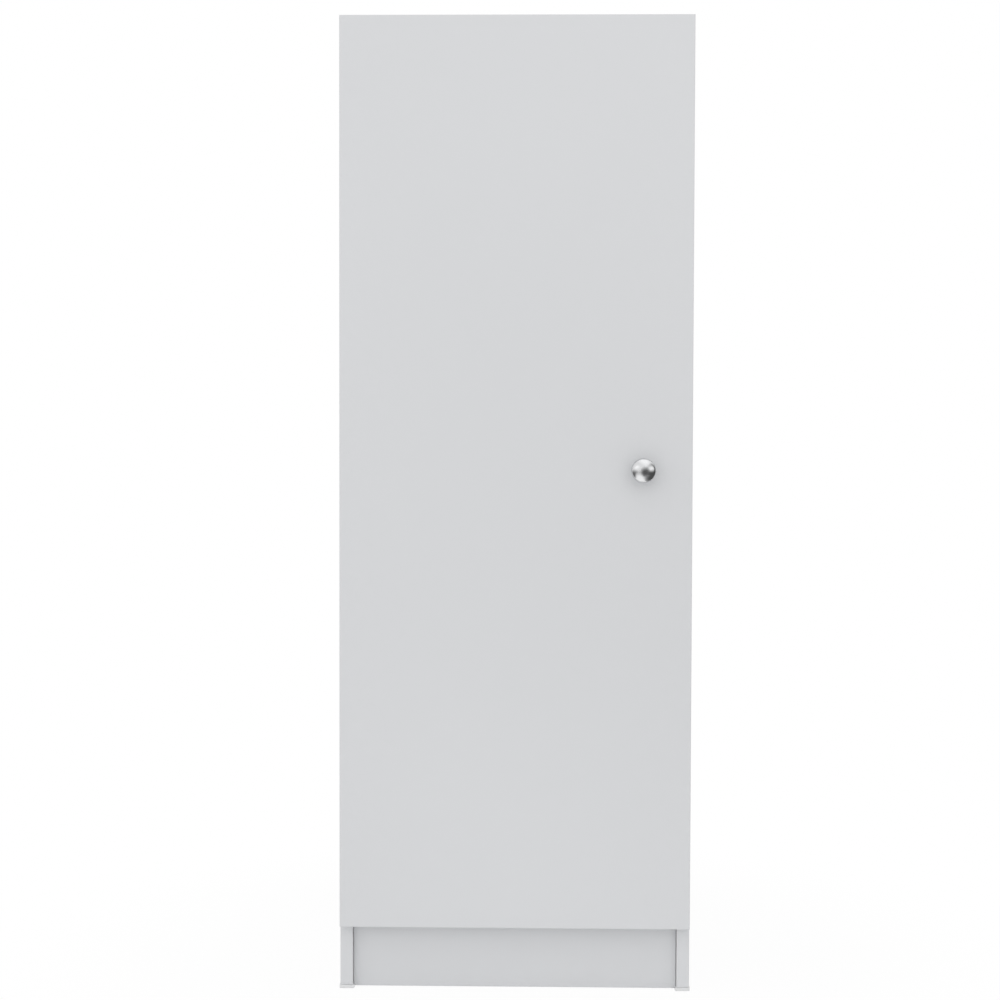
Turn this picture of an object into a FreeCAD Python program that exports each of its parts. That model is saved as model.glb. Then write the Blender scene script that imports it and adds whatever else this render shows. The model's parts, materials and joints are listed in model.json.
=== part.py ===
import FreeCAD, Part
import math
import os
import Sketcher
from FreeCAD import Placement, Rotation, Vector

# A tall, free-standing broom cupboard in melamine-faced board: one slab door hung on three
# concealed cup hinges, a broom bay with clips behind the hinges and a bay of shelves beside it.
# Millimetres. X to the right, Y from the front to the back, Z up; the origin is on the floor,
# at the middle of the cupboard's width and of its depth from the knob to the back.

doc = FreeCAD.newDocument("broom_cupboard")
sheet = doc.addObject("Spreadsheet::Sheet", "Sizes")

SIZES = [
    # how far a cutting shape runs past the face that it opens
    ("cut_over", 1),
    # carcass
    ("width", 500), ("height", 1383), ("board", 18), ("side_depth", 347), ("back_thick", 3),
    ("back_inset", 1), ("toe_height", 95), ("kick_recess", 10), ("kick_thick", 16),
    ("kick_floor_gap", 1), ("kick_side_gap", 0.6), ("broom_bay", 240),
    # floor glides, each with a nose that wraps the foot of its side panel
    ("glide_thick", 5), ("glide_long", 40), ("glide_lip", 1), ("glide_inner_lip", 2),
    ("glide_kick_gap", 1.5), ("glide_waist", 0.3), ("glide_bevel", 0.8), ("glide_nail_at", 24),
    ("glide_seat", 2),
    # shelves and their pins
    ("shelf_thick", 16), ("shelf_setback", 25), ("shelf_gap", 0.75), ("shelf_back_gap", 1),
    ("shelf_pin_inset", 37), ("hole_pitch", 32), ("pin_hole_deep", 11), ("pin_radius", 2.5),
    ("pin_deep", 9), ("pin_out", 8), ("pin_collar", 3.5), ("pin_collar_thick", 0.6),
    ("pin_slack", 0.05), ("pin_point", 0.5),
    # dowels and cam joints
    ("dowel_radius", 4), ("dowel_shallow", 11), ("dowel_long", 22), ("dowel_end_gap", 1),
    ("dowel_nose", 0.9), ("dowel_inset", 92), ("kick_dowel_at", 150), ("joinery_slack", 0.05),
    ("bore_extra", 0.5), ("cam_radius", 7.3), ("cam_depth", 12.2), ("cam_end_gap", 0.3),
    ("cam_back", 24), ("cam_inset", 60), ("cam_tunnel_slack", 0.2), ("cam_tunnel_past", 2.2),
    ("slot_long", 8), ("slot_wide", 1.6), ("slot_deep", 1.6), ("bolt_radius", 2.5),
    ("bolt_in_side", 10), ("bolt_point", 1.5), ("bolt_point_narrows", 0.7), ("bolt_neck", 2),
    ("bolt_collar", 3.3), ("bolt_collar_thick", 1.2), ("bolt_knob", 2.9), ("bolt_knob_before", 2),
    ("bolt_knob_after", 1.5), ("bolt_tunnel", 4), ("cap_thick", 0.8), ("cap_radius", 8.6),
    ("cap_edge_tall", 0.3), ("cap_edge_wide", 0.4),
    # back panel nails
    ("nail_radius", 0.8), ("nail_long", 17), ("nail_point", 2), ("nail_head", 1.7),
    ("nail_head_thick", 0.8), ("nail_slack", 0.03), ("nail_margin", 60), ("head_slack", 0.1),
    # wood screws
    ("wood_screw", 1.9), ("wood_screw_long", 15), ("wood_screw_head", 3.4),
    ("wood_head_thick", 1.8), ("wood_head_rim", 0.8), ("wood_head_slope", 1.2),
    ("screw_hole_slack", 0.2), ("screw_point", 3),
    # wall brackets
    ("bracket_inset", 82), ("bracket_wide", 40), ("bracket_leg", 32), ("bracket_thick", 2),
    ("bracket_screw_at", 12), ("wall_hole", 3), ("wall_hole_drop", 20), ("back_hole", 4.5),
    # broom clips on their rail
    ("rail_set_back", 20), ("rail_height", 1150), ("rail_long", 250), ("rail_tall", 22),
    ("rail_thick", 2), ("rail_screw_from_end", 17), ("clip_from_end", 43), ("clip_inner", 12.5),
    ("clip_wall", 1.8), ("clip_tall", 18), ("clip_mouth", 17), ("clip_base", 2),
    ("clip_base_wide", 20), ("clip_lip", 1.7), ("clip_lip_out", 1.2), ("clip_lip_ahead", 10.35),
    # door, knob and bumpers
    ("door_thick", 18), ("door_gap", 2), ("door_reveal", 1), ("knob_radius", 17.5),
    ("knob_length", 28), ("knob_belly", 9), ("knob_neck", 7.5), ("knob_foot", 10.5),
    ("knob_foot_thick", 2), ("knob_edge", 70), ("knob_rise", 7.5), ("knob_bore_deep", 13),
    ("knob_screw_radius", 2), ("knob_screw_slack", 0.3), ("knob_screw_short", 1.8),
    ("knob_screw_point", 0.7), ("knob_screw_narrows", 0.6), ("knob_screw_head", 4.2),
    ("knob_screw_head_thick", 2.4), ("knob_screw_head_rim", 1.4), ("knob_screw_head_slope", 1.4),
    ("bumper_radius", 4.5), ("bumper_thick", 1.9), ("bumper_from_end", 40),
    # hinge cup and its flange
    ("hinge_end", 100), ("cup_radius", 17.4), ("cup_at", 23.5), ("cup_deep", 12.5),
    ("cup_wall", 0.9), ("cup_corner", 1.5), ("cup_corner_inside", 1.2), ("cup_slack", 0.1),
    ("cup_end_gap", 0.2), ("flange_thick", 1.1), ("flange_half", 18), ("flange_back", 2),
    ("flange_corner", 6), ("wing_half", 30), ("wing_near", 2), ("wing_far", 17),
    ("wing_hole", 24), ("wing_hole_back", 9.5), ("notch_half", 6.9), ("notch_deep", 6),
    ("notch_long", 7.5),
    # hinge pivots, measured from the door's back edge beside the hinges
    ("pivot_a_x", 33.4), ("pivot_a_y", 10), ("pivot_b_x", 12.4), ("pivot_b_y", -3),
    ("pivot_c_x", 31.9), ("pivot_c_y", -7), ("pivot_d_x", 16.65), ("pivot_d_y", -6.5),
    ("knee_x", 21.4), ("knee_y", -3.5),
    # hinge links and rivets
    ("outer_eye_b", 2.4), ("outer_knee", 1.9), ("outer_eye_a", 2.9), ("outer_from", 4.7),
    ("outer_to", 6.1), ("inner_bar", 1.9), ("inner_eye_c", 2.7), ("inner_eye_wall", 1),
    ("inner_half", 3), ("rivet_a", 1.5), ("rivet_b", 1.3), ("rivet_c", 1.3), ("rivet_d", 1.0),
    ("rivet_b_end", 12), ("rivet_d_wall", 1.9), ("running_gap", 0.05), ("open_pivot_gap", 1.6),
    ("rivet_slack", 0.02), ("rivet_head_gap", 0.15), ("rivet_head", 2.6),
    ("rivet_head_thick", 0.8),
    # hinge arm and its screws
    ("cheek_from", 3.3), ("cheek_to", 4.5), ("arm_eye_a", 3.4), ("arm_eye_c", 2.7),
    ("arm_heel", 2.2), ("arm_heel_back", 22), ("arm_spine", 3), ("arm_spine_back", 8.5),
    ("arm_spine_in", 1), ("arm_tail", 3), ("arm_gap", 0.2), ("arm_web", 1.5),
    ("arm_side_gap", 0.3), ("arm_side_thick", 1.5), ("arm_screw_back", 52),
    ("arm_adjust_back", 44), ("arm_screw_hole", 2.1), ("arm_screw", 2), ("arm_screw_long", 6.5),
    ("arm_screw_point", 0.5), ("arm_screw_narrows", 0.4), ("arm_head", 3.2),
    ("arm_head_rim", 1.2), ("arm_head_thick", 1.8), ("arm_head_slope", 0.6), ("arm_socket", 1),
    ("arm_socket_deep", 1),
    # hinge mounting plate and its screws
    ("plate_half", 8), ("plate_corner", 3), ("plate_end", 6), ("wing_thick", 2),
    ("ridge_tall", 8), ("ridge_half", 6), ("ridge_front", 14), ("ridge_long", 46),
    ("plate_screw_hole", 2.05), ("plate_screw_back", 37), ("plate_screw_half", 16),
    ("plate_screw_radius", 2.5), ("plate_screw_deep", 11), ("plate_screw_point", 1.5),
    ("plate_screw_narrows", 0.8), ("plate_screw_head", 3.9), ("plate_head_rim", 1),
    ("plate_head_thick", 1.9), ("plate_head_slope", 1.2), ("plate_socket", 1.1),
    ("plate_socket_deep", 1.2),
]
for row, (alias, amount) in enumerate(SIZES, start=1):
    sheet.set("A%d" % row, alias)
    sheet.set("B%d" % row, str(amount))
    sheet.setAlias("B%d" % row, alias)
doc.recompute()

nodes = []


def size(alias):
    return float(getattr(sheet, alias))


def e(text):
    """Turn a formula on bare size names into a FreeCAD expression on the sheet."""
    out = ""
    word = ""
    for ch in str(text) + " ":
        if ch.isalnum() or ch == "_" or (ch == "." and word[:1].isdigit()):
            word += ch
            continue
        if word and not word[0].isdigit():
            word = "Sizes." + word
        out += word + ch
        word = ""
    return out.strip()


def number(text):
    """The value of such a formula now."""
    names = {alias: size(alias) for alias, _ in SIZES}
    return work_out(str(text), names)


def work_out(text, names):
    """Sum, difference, product and quotient of size names and numbers, with brackets."""
    tokens = []
    word = ""
    for ch in text + " ":
        if ch.isalnum() or ch in "_.":
            word += ch
            continue
        if word:
            tokens.append(word)
            word = ""
        if ch in "+-*/()":
            tokens.append(ch)
    position = [0]

    def peek():
        return tokens[position[0]] if position[0] < len(tokens) else None

    def take():
        position[0] += 1
        return tokens[position[0] - 1]

    def atom():
        token = take()
        if token == "(":
            value = total()
            take()
            return value
        if token == "-":
            return -atom()
        return names[token] if token in names else float(token)

    def product():
        value = atom()
        while peek() in ("*", "/"):
            value = value * atom() if take() == "*" else value / atom()
        return value

    def total():
        value = product()
        while peek() in ("+", "-"):
            value = value + product() if take() == "+" else value - product()
        return value

    return total()


TURNS = {
    "+z": Rotation(),
    "-z": Rotation(Vector(1, 0, 0), 180),
    "+x": Rotation(Vector(0, 1, 0), 90),
    "-x": Rotation(Vector(0, 1, 0), -90),
    "+y": Rotation(Vector(1, 0, 0), -90),
    "-y": Rotation(Vector(1, 0, 0), 90),
}


def place(obj, x, y, z, way="+z"):
    obj.Placement = Placement(Vector(0, 0, 0), TURNS[way])
    for axis, text in (("x", x), ("y", y), ("z", z)):
        obj.setExpression("Placement.Base." + axis, e(text))
    return obj


def box(name, x, y, z, lx, ly, lz):
    obj = doc.addObject("Part::Box", name)
    obj.setExpression("Length", e(lx))
    obj.setExpression("Width", e(ly))
    obj.setExpression("Height", e(lz))
    return place(obj, x, y, z)


def rod(name, x, y, z, way, radius, length):
    obj = doc.addObject("Part::Cylinder", name)
    obj.setExpression("Radius", e(radius))
    obj.setExpression("Height", e(length))
    return place(obj, x, y, z, way)


def copy_of(master, x, y, z, way="+z"):
    link = doc.addObject("App::Link", master.Label + "_at")
    link.LinkedObject = master
    return place(link, x, y, z, way)


def fuse(name, shapes):
    obj = doc.addObject("Part::MultiFuse", name)
    obj.Shapes = shapes
    return obj


def group(name, shapes):
    obj = doc.addObject("Part::Compound", name)
    obj.Links = shapes
    return obj


def cut(name, base, tools):
    obj = doc.addObject("Part::Cut", name)
    obj.Base = base
    obj.Tool = tools[0] if len(tools) == 1 else group(name + "_cuts", tools)
    return obj


def node(obj, label):
    obj.Label = label
    nodes.append(obj)
    return obj


def plane(body, role):
    return [item for item in body.Origin.OriginFeatures if item.Role == role][0]


def outline(body, name, role, points, circles=()):
    """A closed sketch: every corner is placed by two bound distances from the origin."""
    sketch = body.newObject("Sketcher::SketchObject", name)
    sketch.AttachmentSupport = [(plane(body, role), "")]
    sketch.MapMode = "FlatFace"
    spots = [Vector(number(px), number(py), 0) for px, py in points]
    count = len(spots)
    for i in range(count):
        sketch.addGeometry(Part.LineSegment(spots[i], spots[(i + 1) % count]), False)
    for i in range(count):
        sketch.addConstraint(Sketcher.Constraint("Coincident", i, 2, (i + 1) % count, 1))
    for i, (px, py) in enumerate(points):
        for kind, text in (("DistanceX", px), ("DistanceY", py)):
            at = sketch.addConstraint(Sketcher.Constraint(kind, -1, 1, i, 1, number(text)))
            sketch.setExpression("Constraints[%d]" % at, e(text))
    for px, py, radius in circles:
        centre = Vector(number(px), number(py), 0)
        ring = sketch.addGeometry(Part.Circle(centre, Vector(0, 0, 1), number(radius)), False)
        for kind, text in (("DistanceX", px), ("DistanceY", py)):
            at = sketch.addConstraint(Sketcher.Constraint(kind, -1, 1, ring, 3, number(text)))
            sketch.setExpression("Constraints[%d]" % at, e(text))
        at = sketch.addConstraint(Sketcher.Constraint("Radius", ring, number(radius)))
        sketch.setExpression("Constraints[%d]" % at, e(radius))
    return sketch


def turned(name, points):
    """A body turned about Z from an outline in the XZ plane, given as (radius, height)."""
    body = doc.addObject("PartDesign::Body", name)
    sketch = outline(body, name + "_profile", "XZ_Plane", points)
    sketch.Visibility = False
    spin = body.newObject("PartDesign::Revolution", name + "_turn")
    spin.Profile = sketch
    spin.ReferenceAxis = (sketch, ["V_Axis"])
    spin.Angle = 360
    return body


def padded(name, role, points, thickness, circles=()):
    """A body padded from an outline with round holes, starting on an origin plane."""
    body = doc.addObject("PartDesign::Body", name)
    sketch = outline(body, name + "_profile", role, points, circles)
    pad = body.newObject("PartDesign::Pad", name + "_pad")
    pad.Profile = sketch
    pad.setExpression("Length", e(thickness))
    return body


# Reference planes as formulas.
LEFT = "(-width / 2)"
RIGHT = "(width / 2)"
FRONT = "((knob_length + door_thick + door_gap - side_depth - back_thick) / 2)"
REAR = "(%s + side_depth)" % FRONT
IN_LEFT = "(%s + board)" % LEFT
IN_RIGHT = "(%s - board)" % RIGHT
BOTTOM_UP = "(toe_height + board)"
TOP_DOWN = "(height - board)"
WALL_FROM = "(%s + broom_bay)" % IN_LEFT
WALL_TO = "(%s + board)" % WALL_FROM
DOOR_BACK = "(%s - door_gap)" % FRONT
DOOR_FACE = "(%s - door_thick)" % DOOR_BACK
DOOR_LOW = "(toe_height - door_reveal)"
DOOR_HIGH = "(height - door_reveal)"
HINGE_X = "(%s + door_reveal)" % LEFT
HINGES = [
    ("lower", "(%s + hinge_end)" % DOOR_LOW),
    ("middle", "((%s + %s) / 2)" % (DOOR_LOW, DOOR_HIGH)),
    ("upper", "(%s - hinge_end)" % DOOR_HIGH),
]
CAM_ROWS = ["(%s + cam_inset)" % FRONT, "(%s - cam_inset)" % REAR]
DOWEL_ROWS = ["(%s + dowel_inset)" % FRONT, "(%s - dowel_inset)" % REAR]
SHELF_SHARES = ["0.2", "0.4", "0.6", "0.8"]
SHELF_LEVELS = [
    "(%s + (%s - %s) * %s)" % (BOTTOM_UP, TOP_DOWN, BOTTOM_UP, share) for share in SHELF_SHARES
]
PIN_ROWS = ["(%s + shelf_setback + shelf_pin_inset)" % FRONT, "(%s - shelf_pin_inset)" % REAR]

# Fastener masters, each turned once and then placed wherever it is used.
dowel_master = turned("dowel_master", [
    ("0", "0"), ("dowel_radius - dowel_nose", "0"), ("dowel_radius", "dowel_nose"),
    ("dowel_radius", "dowel_shallow + dowel_long - dowel_nose"),
    ("dowel_radius - dowel_nose", "dowel_shallow + dowel_long"), ("0", "dowel_shallow + dowel_long"),
])
bolt_master = turned("bolt_master", [
    ("0", "-bolt_in_side"), ("bolt_radius - bolt_point_narrows", "-bolt_in_side"),
    ("bolt_radius", "bolt_point - bolt_in_side"), ("bolt_radius", "0"), ("bolt_collar", "0"),
    ("bolt_collar", "bolt_collar_thick"), ("bolt_neck", "bolt_collar_thick"),
    ("bolt_neck", "cam_back - bolt_knob_before"), ("bolt_knob", "cam_back - bolt_knob_before"),
    ("bolt_knob", "cam_back + bolt_knob_after"), ("0", "cam_back + bolt_knob_after"),
])
nail_master = turned("nail_master", [
    ("0", "0"), ("nail_head", "0"), ("nail_head", "nail_head_thick"),
    ("nail_radius", "nail_head_thick"), ("nail_radius", "nail_long - nail_point"),
    ("0", "nail_long"),
])
nail_hole_master = turned("nail_hole_master", [
    ("0", "-cut_over"), ("nail_head + nail_slack", "-cut_over"),
    ("nail_head + nail_slack", "nail_head_thick"), ("nail_radius + nail_slack", "nail_head_thick"),
    ("nail_radius + nail_slack", "nail_long + bore_extra"), ("0", "nail_long + bore_extra"),
])
screw_master = turned("screw_master", [
    ("0", "-wood_head_thick"), ("wood_screw_head - wood_head_slope", "-wood_head_thick"),
    ("wood_screw_head", "-wood_head_rim"), ("wood_screw_head", "0"), ("wood_screw", "0"),
    ("wood_screw", "wood_screw_long - screw_point"), ("0", "wood_screw_long"),
])
shelf_pin_master = turned("shelf_pin_master", [
    ("0", "-pin_deep"), ("pin_radius - pin_point", "-pin_deep"),
    ("pin_radius", "pin_point - pin_deep"),
    ("pin_radius", "0"), ("pin_collar", "0"), ("pin_collar", "pin_collar_thick"),
    ("pin_radius", "pin_collar_thick"),
    ("pin_radius", "pin_out - pin_point"), ("pin_radius - pin_point", "pin_out"), ("0", "pin_out"),
])
cap_master = turned("cap_master", [
    ("0", "0"), ("cap_radius", "0"), ("cap_radius", "cap_thick - cap_edge_tall"),
    ("cap_radius - cap_edge_wide", "cap_thick"), ("0", "cap_thick"),
])
plate_screw_master = turned("plate_screw_master", [
    ("0", "-plate_screw_deep - wing_thick"),
    ("plate_screw_radius - plate_screw_narrows", "-plate_screw_deep - wing_thick"),
    ("plate_screw_radius", "plate_screw_point - plate_screw_deep - wing_thick"),
    ("plate_screw_radius", "0"), ("plate_screw_head", "0"), ("plate_screw_head", "plate_head_rim"),
    ("plate_screw_head - plate_head_slope", "plate_head_thick"), ("plate_socket", "plate_head_thick"),
    ("plate_socket", "plate_head_thick - plate_socket_deep"),
    ("0", "plate_head_thick - plate_socket_deep"),
])

# Cam housing: a drum with a screwdriver slot, and a tunnel that the bolt's head slides into.
cam_drum = turned("cam_drum", [
    ("0", "0"), ("cam_radius", "0"), ("cam_radius", "cam_depth"), ("0", "cam_depth"),
])
cam_master = cut("cam_master", cam_drum, [
    rod("cam_tunnel", "-cam_radius - cut_over", "0", "board / 2", "+x",
        "bolt_collar + cam_tunnel_slack", "cam_radius + cut_over + cam_tunnel_past"),
    box("cam_slot", "-slot_long / 2", "-slot_wide / 2", "-cut_over", "slot_long", "slot_wide",
        "slot_deep + cut_over"),
])

dowels = []
cams = []
bolts = []
caps = []
left_holes = []
right_holes = []
top_holes = []
bottom_holes = []

# Corner joints: a cam bolt and a dowel, front and back, at each end of both long boards.
for board_name, mid, cam_floor, cam_way, holes in (
    ("top", "(height - board / 2)", TOP_DOWN, "+z", top_holes),
    ("bottom", "(toe_height + board / 2)", "toe_height", "+z", bottom_holes),
):
    for face, side_way, inward, side_holes in (
        (IN_LEFT, "+x", "+", left_holes),
        (IN_RIGHT, "-x", "-", right_holes),
    ):
        for row in CAM_ROWS:
            away = "-x" if side_way == "+x" else "+x"
            bolts.append(copy_of(bolt_master, face, row, mid, side_way))
            side_holes.append(rod("bolt_hole", face, row, mid, away,
                                  "bolt_radius + joinery_slack", "bolt_in_side + bore_extra"))
            holes.append(rod("bolt_tunnel_hole", face, row, mid, side_way, "bolt_tunnel",
                             "cam_back"))
            centre = "(%s %s cam_back)" % (face, inward)
            holes.append(rod("cam_bore", centre, row, "%s - cut_over" % cam_floor, "+z",
                             "cam_radius + joinery_slack", "cam_depth + cut_over + cam_end_gap"))
            cam = copy_of(cam_master, centre, row, cam_floor)
            if side_way == "-x":
                cam.Placement = Placement(Vector(0, 0, 0), Rotation(Vector(0, 0, 1), 180))
            cams.append(cam)
            caps.append(copy_of(cap_master, centre, row, cam_floor, "-z"))
        for row in DOWEL_ROWS:
            start = "(%s - dowel_shallow)" % face if side_way == "+x" else "(%s + dowel_shallow)" % face
            dowels.append(copy_of(dowel_master, start, row, mid, side_way))
            away = "-x" if side_way == "+x" else "+x"
            side_holes.append(rod("dowel_hole", face, row, mid, away,
                                  "dowel_radius + joinery_slack", "dowel_shallow + dowel_end_gap"))
            holes.append(rod("dowel_deep_hole", face, row, mid, side_way,
                             "dowel_radius + joinery_slack", "dowel_long + dowel_end_gap"))

# The partition stands on two dowels and is held by two more at its top.
wall_mid = "((%s + %s) / 2)" % (WALL_FROM, WALL_TO)
wall_holes = []
for row in DOWEL_ROWS:
    dowels.append(copy_of(dowel_master, wall_mid, row, "%s - dowel_shallow" % BOTTOM_UP, "+z"))
    dowels.append(copy_of(dowel_master, wall_mid, row, "%s + dowel_shallow" % TOP_DOWN, "-z"))
    slack = "dowel_radius + joinery_slack"
    bottom_holes.append(rod("dowel_hole", wall_mid, row, BOTTOM_UP, "-z", slack,
                            "dowel_shallow + dowel_end_gap"))
    top_holes.append(rod("dowel_hole", wall_mid, row, TOP_DOWN, "+z", slack,
                         "dowel_shallow + dowel_end_gap"))
    wall_holes.append(rod("dowel_hole", wall_mid, row, BOTTOM_UP, "+z", slack,
                          "dowel_long + dowel_end_gap"))
    wall_holes.append(rod("dowel_hole", wall_mid, row, TOP_DOWN, "-z", slack,
                          "dowel_long + dowel_end_gap"))

# The kick board hangs from two dowels under the bottom board.
kick_y = "(%s + kick_recess)" % FRONT
kick_mid = "(%s + kick_thick / 2)" % kick_y
kick_holes = []
for spot in ("-kick_dowel_at", "kick_dowel_at"):
    dowels.append(copy_of(dowel_master, spot, kick_mid, "toe_height + dowel_shallow", "-z"))
    bottom_holes.append(rod("dowel_hole", spot, kick_mid, "toe_height", "+z",
                            "dowel_radius + joinery_slack", "dowel_shallow + dowel_end_gap"))
    kick_holes.append(rod("dowel_hole", spot, kick_mid, "toe_height", "-z",
                          "dowel_radius + joinery_slack", "dowel_long + dowel_end_gap"))

# Nails that hold the back panel to every board behind it.
nail_spots = []
low_nail = "(toe_height + nail_margin)"
high_nail = "(height - nail_margin)"
for share in ("0", "0.25", "0.5", "0.75", "1"):
    level = "(%s + (%s - %s) * %s)" % (low_nail, high_nail, low_nail, share)
    nail_spots.append(("(%s + board / 2)" % LEFT, level, left_holes))
    nail_spots.append(("(%s - board / 2)" % RIGHT, level, right_holes))
for share in ("0.1", "0.5", "0.9"):
    level = "(%s + (%s - %s) * %s)" % (low_nail, high_nail, low_nail, share)
    nail_spots.append((wall_mid, level, wall_holes))
for spot in ("(-width / 5)", "0", "(width / 5)"):
    nail_spots.append((spot, "(height - board / 2)", top_holes))
    nail_spots.append((spot, "(toe_height + board / 2)", bottom_holes))
nails = []
back_holes = []
back_face = "(%s + back_thick)" % REAR
for spot, level, holes in nail_spots:
    nails.append(copy_of(nail_master, spot, back_face, level, "-y"))
    holes.append(copy_of(nail_hole_master, spot, back_face, level, "-y"))
    back_holes.append(copy_of(nail_hole_master, spot, back_face, level, "-y"))

# Wall brackets: an angle under the top board, over a hole through the back panel.
bracket_screws = []
for name, spot in (("wall_bracket_left", "(%s + bracket_inset)" % IN_LEFT),
                   ("wall_bracket_right", "(%s - bracket_inset)" % IN_RIGHT)):
    angle = padded(name + "_angle", "YZ_Plane", [
        ("0", "0"), ("-bracket_leg", "0"), ("-bracket_leg", "-bracket_thick"),
        ("-bracket_thick", "-bracket_thick"), ("-bracket_thick", "-bracket_leg"), ("0", "-bracket_leg"),
    ], "bracket_wide")
    place(angle, "%s - bracket_wide / 2" % spot, REAR, TOP_DOWN)
    level = "(%s - wall_hole_drop)" % TOP_DOWN
    screw_y = "(%s - bracket_leg / 2 - bracket_thick / 2)" % REAR
    drilled = [rod("wall_hole_cut", spot, "%s - bracket_thick - cut_over" % REAR, level, "+y",
                   "wall_hole", "bracket_thick + 2 * cut_over")]
    for shift in ("- bracket_screw_at", "+ bracket_screw_at"):
        x = "(%s %s)" % (spot, shift)
        under = "(%s - bracket_thick)" % TOP_DOWN
        bracket_screws.append(copy_of(screw_master, x, screw_y, under, "+z"))
        drilled.append(rod("leg_hole", x, screw_y, "%s - cut_over" % under, "+z",
                           "wood_screw + screw_hole_slack", "bracket_thick + 2 * cut_over"))
        top_holes.append(rod("pilot_hole", x, screw_y, TOP_DOWN, "+z",
                             "wood_screw + joinery_slack",
                             "wood_screw_long - bracket_thick + bore_extra"))
    back_holes.append(rod("wall_screw_hole", spot, "%s - cut_over" % REAR, level, "+y",
                          "back_hole", "back_thick + 2 * cut_over"))
    node(cut(name + "_drilled", angle, drilled), name)
node(group("bracket_screw_set", bracket_screws), "bracket_screws")

# Shelves on pins in rows of holes at the usual 32 mm pitch.
shelf_pins = []
shelf_x = "(%s + shelf_gap)" % WALL_TO
shelf_long = "(%s - %s - 2 * shelf_gap)" % (IN_RIGHT, WALL_TO)
shelf_deep = "(side_depth - shelf_setback - shelf_back_gap)"
for index, level in enumerate(SHELF_LEVELS, start=1):
    node(box("shelf", shelf_x, "%s + shelf_setback" % FRONT, level, shelf_long, shelf_deep,
             "shelf_thick"), "shelf_%d" % index)
    pin_level = "(%s - pin_collar)" % level
    for row in PIN_ROWS:
        shelf_pins.append(copy_of(shelf_pin_master, WALL_TO, row, pin_level, "+x"))
        shelf_pins.append(copy_of(shelf_pin_master, IN_RIGHT, row, pin_level, "-x"))
        for step in ("- hole_pitch", "", "+ hole_pitch"):
            height_now = "(%s %s)" % (pin_level, step)
            wall_holes.append(rod("pin_hole", WALL_TO, row, height_now, "-x",
                                  "pin_radius + pin_slack", "pin_hole_deep"))
            right_holes.append(rod("pin_hole", IN_RIGHT, row, height_now, "+x",
                                   "pin_radius + pin_slack", "pin_hole_deep"))
node(group("shelf_pin_set", shelf_pins), "shelf_pins")

# Broom rail and its spring clips on the left side panel, each clip a split ring on a foot.
rail_face = "(%s + rail_thick)" % IN_LEFT
rail_mid = "((%s + %s) / 2 + rail_set_back)" % (FRONT, REAR)
rail_screws = []
clip_screws = []
rail_holes = []
for sign in ("-", "+"):
    y = "(%s %s (rail_long / 2 - rail_screw_from_end))" % (rail_mid, sign)
    rail_screws.append(copy_of(screw_master, rail_face, y, "rail_height", "-x"))
    rail_holes.append(rod("rail_hole", "%s - cut_over" % IN_LEFT, y, "rail_height", "+x",
                          "wood_screw + screw_hole_slack", "rail_thick + 2 * cut_over"))
    left_holes.append(rod("pilot_hole", IN_LEFT, y, "rail_height", "-x",
                          "wood_screw + joinery_slack", "wood_screw_long - rail_thick + bore_extra"))
clip_face = "(%s + clip_base)" % rail_face
ring_x = "(%s + clip_wall + clip_inner)" % rail_face
for index, share in enumerate(("-1", "0", "1"), start=1):
    y = "(%s + %s * (rail_long / 2 - clip_from_end))" % (rail_mid, share)
    low = "(rail_height - clip_tall / 2)"
    ring = rod("ring", ring_x, y, low, "+z", "clip_inner + clip_wall", "clip_tall")
    foot = box("foot", rail_face, "%s - clip_base_wide / 2" % y, low, "clip_base",
               "clip_base_wide", "clip_tall")
    lip_x = "(%s + clip_lip_ahead)" % ring_x
    lips = [
        rod("lip", lip_x, "%s - clip_mouth / 2 - clip_lip_out" % y, low, "+z", "clip_lip", "clip_tall"),
        rod("lip", lip_x, "%s + clip_mouth / 2 + clip_lip_out" % y, low, "+z", "clip_lip", "clip_tall"),
    ]
    blank = fuse("clip_blank", [ring, foot] + lips)
    hollow = rod("hollow", ring_x, y, "%s - cut_over" % low, "+z", "clip_inner",
                 "clip_tall + 2 * cut_over")
    mouth = box("mouth", ring_x, "%s - clip_mouth / 2" % y, "%s - cut_over" % low,
                "clip_inner + clip_wall + clip_lip + cut_over", "clip_mouth",
                "clip_tall + 2 * cut_over")
    eye = rod("eye", rail_face, y, "rail_height", "+x", "wood_screw + screw_hole_slack",
              "clip_base + wood_head_thick")
    seat = rod("seat", clip_face, y, "rail_height", "+x", "wood_screw_head + screw_hole_slack",
               "wood_head_thick + cut_over")
    opened = fuse("clip_opening", [hollow, mouth, eye, seat])
    node(cut("clip", blank, [opened]), "broom_clip_%d" % index)
    clip_screws.append(copy_of(screw_master, clip_face, y, "rail_height", "-x"))
    rail_holes.append(rod("clip_hole", "%s - cut_over" % IN_LEFT, y, "rail_height", "+x",
                          "wood_screw + screw_hole_slack", "rail_thick + 2 * cut_over"))
    left_holes.append(rod("pilot_hole", IN_LEFT, y, "rail_height", "-x",
                          "wood_screw + joinery_slack",
                          "wood_screw_long - rail_thick - clip_base + bore_extra"))
node(cut("rail", box("rail_bar", IN_LEFT, "%s - rail_long / 2" % rail_mid,
                     "rail_height - rail_tall / 2", "rail_thick", "rail_long", "rail_tall"),
         rail_holes), "broom_rail")
node(group("rail_screw_set", rail_screws), "rail_screws")
node(group("clip_screw_set", clip_screws), "clip_screws")

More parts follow.
